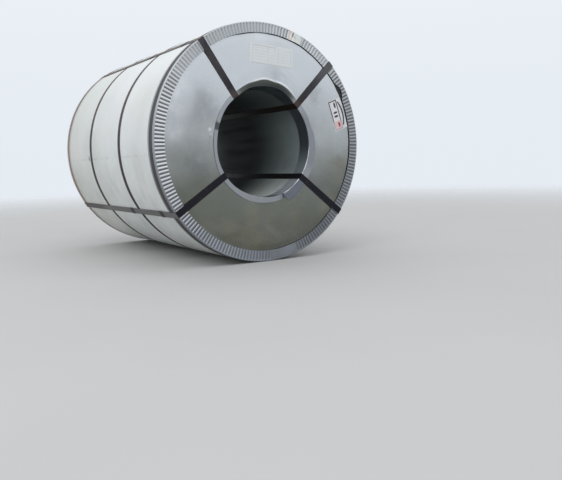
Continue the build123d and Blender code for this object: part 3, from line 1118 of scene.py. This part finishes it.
def mark_cover(piece, side):
    """Keeps at each point how far it lies past the rings' edges, and how much of the torn lip it is, for
    the cover's painted shadows and its painted lip highlight.
    """
    places = np.empty(len(piece.data.vertices) * 3, np.float32)
    piece.data.vertices.foreach_get("co", places)
    x, rise = places[0::3], places[2::3] - axis_height
    radius, angles = np.hypot(x, rise), np.degrees(np.arctan2(rise, x))
    # The painted gap shadow reaches a little past the outer ring's leg on the upper right
    shown = 0.004 * smooth_step(bump_at(angles, 45.0, 85.0), 0.05, 0.3)
    pushed = hook_push(angles) + torn_push * bump_at(angles, torn_place, torn_half_width)
    marks = {
        "past_ring_leg": radius - (ring_leg_edge(angles) - shown),
        "past_inner_leg": radius - (left_leg_edge(angles) + 0.0008),
        "raised_lip": torn_lip(radius - pushed, angles) / lip_height * (side == FRONT),
    }
    for label, values in marks.items():
        kept = piece.data.attributes.new(label, "FLOAT", "POINT")
        kept.data.foreach_set("value", values.astype(np.float32))


def cover(name, node, side, dents, material):
    """A dented flat ring of sheet over an end of the coil."""
    # Rows of points lie closer together towards the mouth's damage
    line = row_of((cover_radius, cover_face), (0.5, cover_face), 4)
    line += row_of((0.5, cover_face), (0.31, cover_face), 44)[1:]
    line += row_of((0.31, cover_face), (0.27, cover_face), 26)[1:]
    line += row_of((0.27, cover_face), (cover_inside, cover_face), 4)[1:]

    def dented(radius, out, angles):
        turns = np.radians(angles)
        level = cover_level(radius * np.cos(turns), radius * np.sin(turns), dents)
        # Under the mouth ring's leg the sheet is held down
        edge = np.maximum(inner_leg_edge(angles), leg_radius) if side == FRONT else leg_radius
        held = smooth_step(radius, edge - 0.001, edge + 0.012)
        under_leg = cover_face - (mouth_knock(angles) if side == FRONT else 0)
        level = under_leg + (level - under_leg) * held
        if side == FRONT:
            level = np.minimum(level + torn_lip(radius, angles), package_end - 0.0002)
        moved = level - (cover_face - out)
        return pushed_by_hook(radius, moved, angles) if side == FRONT else (radius, moved, angles)

    piece = turned_piece(name, line, side, material, shape=dented)
    mark_cover(piece, side)
    settle(piece, "cover_sheet", node)


# Mouth rings, lining and coil

# Where the left-hand length stands clear of the bore between the straps: angle, half width, how far
mouth_leans = ((169.0, 36.0, 0.006), (-103.0, 36.0, 0.006))
lean_reach_in = 0.07
mouth_bend = 0.0016
# How the right-hand length lies over the left-hand one at its cut end: its lift and its slide outwards
lap_lift, lap_slide = 0.0013, 0.012


def mouth_line():
    """The visible line of a mouth ring, from its face leg round the bend and into the bore."""
    corner = (bore_radius + mouth_bend, leg_face - mouth_bend)
    face = row_of((leg_radius, leg_face), (corner[0], leg_face), 7)
    deep = row_of((bore_radius, corner[1] - 0.002), (bore_radius, leg_end), 8)
    return face[:-1] + arc_points(corner, mouth_bend, 90, 180, 5) + deep


def mouth_length(name, span, edge, side, material, lapped=False):
    """One length of the angle ring round the mouth; a lapped one lies over the other at its start."""
    leg_start = bore_radius + mouth_bend

    def shape(radius, out, angles):
        share = np.clip((radius - leg_start) / (leg_radius - leg_start), 0, 1)
        on_face = out > coil_end
        radius = radius + (edge(angles) - leg_radius) * share
        if side == FRONT:
            for middle, half_width, far in mouth_leans:
                lean = bump_at(angles, middle, half_width) * (1 - share)
                radius = radius - far * lean * smooth_step(out, coil_end - lean_reach_in, coil_end)
            out = out - mouth_knock(angles) * smooth_step(share, 0.0, 0.4) * on_face
        if lapped:
            start = span[0]
            over = 1 - smooth_step(angles, start + 5, start + 17)
            depth = np.clip((leg_face - out) / (leg_face - leg_end), 0, 1)
            out = out + lap_lift * over * on_face + lap_slide * over * depth
            radius = radius - lap_lift * over * (share <= 0)
            # The cut is aslant on the face leg, and its outer corner is snipped off
            skew = 3.2 * share + 3.0 * smooth_step(share, 0.7, 1.0) - 0.9
            angles = angles + skew * (1 - smooth_step(angles, start, start + 12))
        return pushed_by_hook(radius, out, angles) if side == FRONT else (radius, out, angles)

    steps = round((span[1] - span[0]) / 360 * turn_steps)
    return turned_piece(name, mouth_line(), side, material, span, steps, shape)


def mouth_rings(material):
    """The front mouth ring in two lengths that lap low on the right, and the rear one."""
    left = mouth_length("mouth_ring_left", left_length, left_leg_edge, FRONT, material)
    right = mouth_length("mouth_ring_right", right_length, right_leg_edge, FRONT, material, lapped=True)
    rear = mouth_length("mouth_ring_rear", (0, 360), left_leg_edge, REAR, material)
    settle(left, "ring_sheet", "inner_edge_ring_front")
    settle(right, "ring_sheet", "inner_edge_ring_front")
    settle(rear, "ring_sheet", "inner_edge_ring_rear")


def lining(material):
    """The sleeve of sheet in the bore, whose front end follows the mouth's damage."""
    inside = sleeve_radius - sheet
    line = row_of((inside, coil_end), (inside, coil_end - hook_reach_in), 23)
    line += row_of((inside, coil_end - hook_reach_in - 0.02), (inside, -coil_end), 12)
    piece = turned_piece("bore_lining", line, FRONT, material, steps=360, shape=pushed_by_hook)
    settle(piece, "bore_sheet", "bore_sleeve")


def coil_body(material):
    """The wound strip, with the edges of its turns standing unevenly on the ends."""
    inside, turns, uneven = sleeve_radius + 0.0002, 42, 0.0004
    radii = [inside + (coil_radius - inside) * step / turns for step in range(turns + 1)]
    line = [(inside, coil_end - depth) for depth in (0.1, 0.06, 0.03)]
    for step, radius in enumerate(radii):
        line.append((radius, coil_end - uneven - uneven * math.sin(step * 2.4)))
    back = [(radius, -out) for radius, out in line]
    piece = turned_piece("wound_coil", line, FRONT, material, steps=240, shape=pushed_by_hook, back=back)
    settle(piece, "wound_strip", "steel_coil")


# Labels


def page_piece(name, centre, size, turn, material, columns=24, rows=12):
    """A thin page stuck on the front cover, following its surface."""
    c, s = cos_sin(turn)
    u, v = np.meshgrid(np.linspace(0, 1, columns + 1), np.linspace(0, 1, rows + 1))
    across, up = (u - 0.5) * size[0], (v - 0.5) * size[1]
    x, rise = centre[0] + across * c - up * s, centre[1] + across * s + up * c
    level = cover_level(x, rise, front_dents)
    lift, thick = 0.0003, 0.00015
    sides = [np.stack([x, -level - lift - far, axis_height + rise], -1) for far in (0, thick)]
    numbers = np.arange(u.size).reshape(u.shape)
    corners = [numbers[:-1, :-1], numbers[:-1, 1:], numbers[1:, 1:], numbers[1:, :-1]]
    quad = np.stack(corners, -1).reshape(-1, 4)
    rim = np.concatenate([numbers[0, :-1], numbers[:-1, -1], numbers[-1, :0:-1], numbers[:0:-1, 0]])
    after = np.roll(rim, -1)
    edges = np.stack([rim, after, after + u.size, rim + u.size], -1)
    quads = np.vstack([quad[:, ::-1], quad + u.size, edges])
    points = np.vstack([face.reshape(-1, 3) for face in sides])
    piece = add_mesh(name, points, quads, material)
    places = np.tile(np.stack([u.ravel(), v.ravel()], -1), (2, 1))
    page = piece.data.uv_layers.new(name="page")
    for corner in piece.data.loops:
        page.data[corner.index].uv = places[corner.vertex_index]
    settle(piece, "cover_sheet")


# Stage


def stage():
    """A pale floor that fades out far off, an even pale sky and one soft lamp."""
    floor_radius, fade_start, fade_end = 14, 2.5, 10.0
    bpy.ops.mesh.primitive_circle_add(vertices=64, radius=floor_radius, fill_type="NGON")
    floor = bpy.context.object
    floor.name = "floor"
    material, surface, where = new_material("floor_pale", Roughness=0.8, Specular_IOR_Level=0.2)
    tree = material.node_tree
    feed_all(surface, Base_Color=mixed(noise(where, 1.5, 4.0), (0.5, 0.5, 0.49), (0.54, 0.54, 0.53)))
    off = put("ShaderNodeVectorMath", {0: where}, operation="LENGTH").outputs["Value"]
    opaque = tree.nodes["Principled BSDF"].outputs[0]
    clear = put("ShaderNodeBsdfTransparent", tree=tree).outputs[0]
    inputs = {0: ranged(off, fade_start, fade_end), 1: opaque, 2: clear}
    feed(tree.nodes["Material Output"].inputs[0], put("ShaderNodeMixShader", inputs).outputs[0])
    floor.data.materials.append(material)

    world = bpy.data.worlds.new("even_sky")
    world.use_nodes = True
    bpy.context.scene.world = world
    tree = world.node_tree
    rise = split(put("ShaderNodeTexCoord", tree=tree).outputs["Generated"])["Z"]
    shown = mixed(ranged(rise, 0.0, 0.8), (0.79, 0.84, 0.895), (0.96, 0.98, 1.0))
    light = mixed(ranged(rise, 0.0, 1.0, kind="LINEAR"), (0.43, 0.44, 0.46), (1.3, 1.32, 1.36))
    path = put("ShaderNodeLightPath", tree=tree).outputs
    seen = maths("MAXIMUM", path["Is Camera Ray"], path["Is Glossy Ray"])
    seen = maths("MAXIMUM", seen, path["Is Transmission Ray"])
    feed(tree.nodes["Background"].inputs["Color"], mixed(seen, light, shown))

    lamp = bpy.data.lights.new("soft_lamp", "AREA")
    lamp.size, lamp.energy = 4.0, 60
    holder = add_object("soft_lamp", lamp)
    holder.location = (-3.6, -3.0, 4.8)
    aim = Vector((0, 0, 0.6)) - holder.location
    holder.rotation_euler = aim.to_track_quat("-Z", "Y").to_euler()


def camera():
    """The photograph's view of the coil, from a lens, place and turn fitted to its two end circles."""
    lens = bpy.data.cameras.new("camera")
    lens.lens, lens.sensor_width = 41.89, 36.0
    holder = add_object("camera", lens)
    holder.location = (-1.6092, -3.2821, 0.4508)
    holder.rotation_euler = [math.radians(turn) for turn in (83.466, 1.479, -32.943)]
    bpy.context.scene.camera = holder


def dress(node, material):
    """Gives a node of the model its finish."""
    mesh = frame["nodes"][node].data
    mesh.materials.clear()
    mesh.materials.append(material)


camera()
stage()
bpy.context.scene.view_settings.view_transform = "Standard"

cover_sheet = cover_material()
ring_sheet = ring_material()
mouth_ring_sheet = mouth_ring_material()
eye_strap_paint = strap_material("eye_strap_paint", eye_strap_edges, eye_strap_tints, 50.0)
girth_strap_paint = strap_material("girth_strap_paint", girth_strap_edges, girth_strap_tints, 55.0)
seal_steel = seal_material()

dress("outer_wrap", wrap_material())
for node in frame["nodes"]:
    if node.startswith("eye_strap"):
        dress(node, eye_strap_paint)
    elif node.startswith("girth_strap"):
        dress(node, girth_strap_paint)
    elif "seal" in node:
        dress(node, seal_steel)

fluting = fluting_group()
for end, side, dents in (("front", FRONT, front_dents), ("rear", REAR, rear_dents)):
    outer_ring(f"fluted_ring_{end}", f"outer_edge_ring_{end}", side, fluting, ring_sheet)
    cover(f"cover_{end}", f"end_cover_{end}", side, dents, cover_sheet)
mouth_rings(mouth_ring_sheet)
lining(bore_material())
coil_body(strip_material())
page_piece("paper_label", (0.050, 0.404), (0.236, 0.090), -4.5, paper_material(), 48, 20)
page_piece("shape_sticker", (0.431, 0.143), (0.082, 0.150), 18.5, sticker_material(), 16, 30)
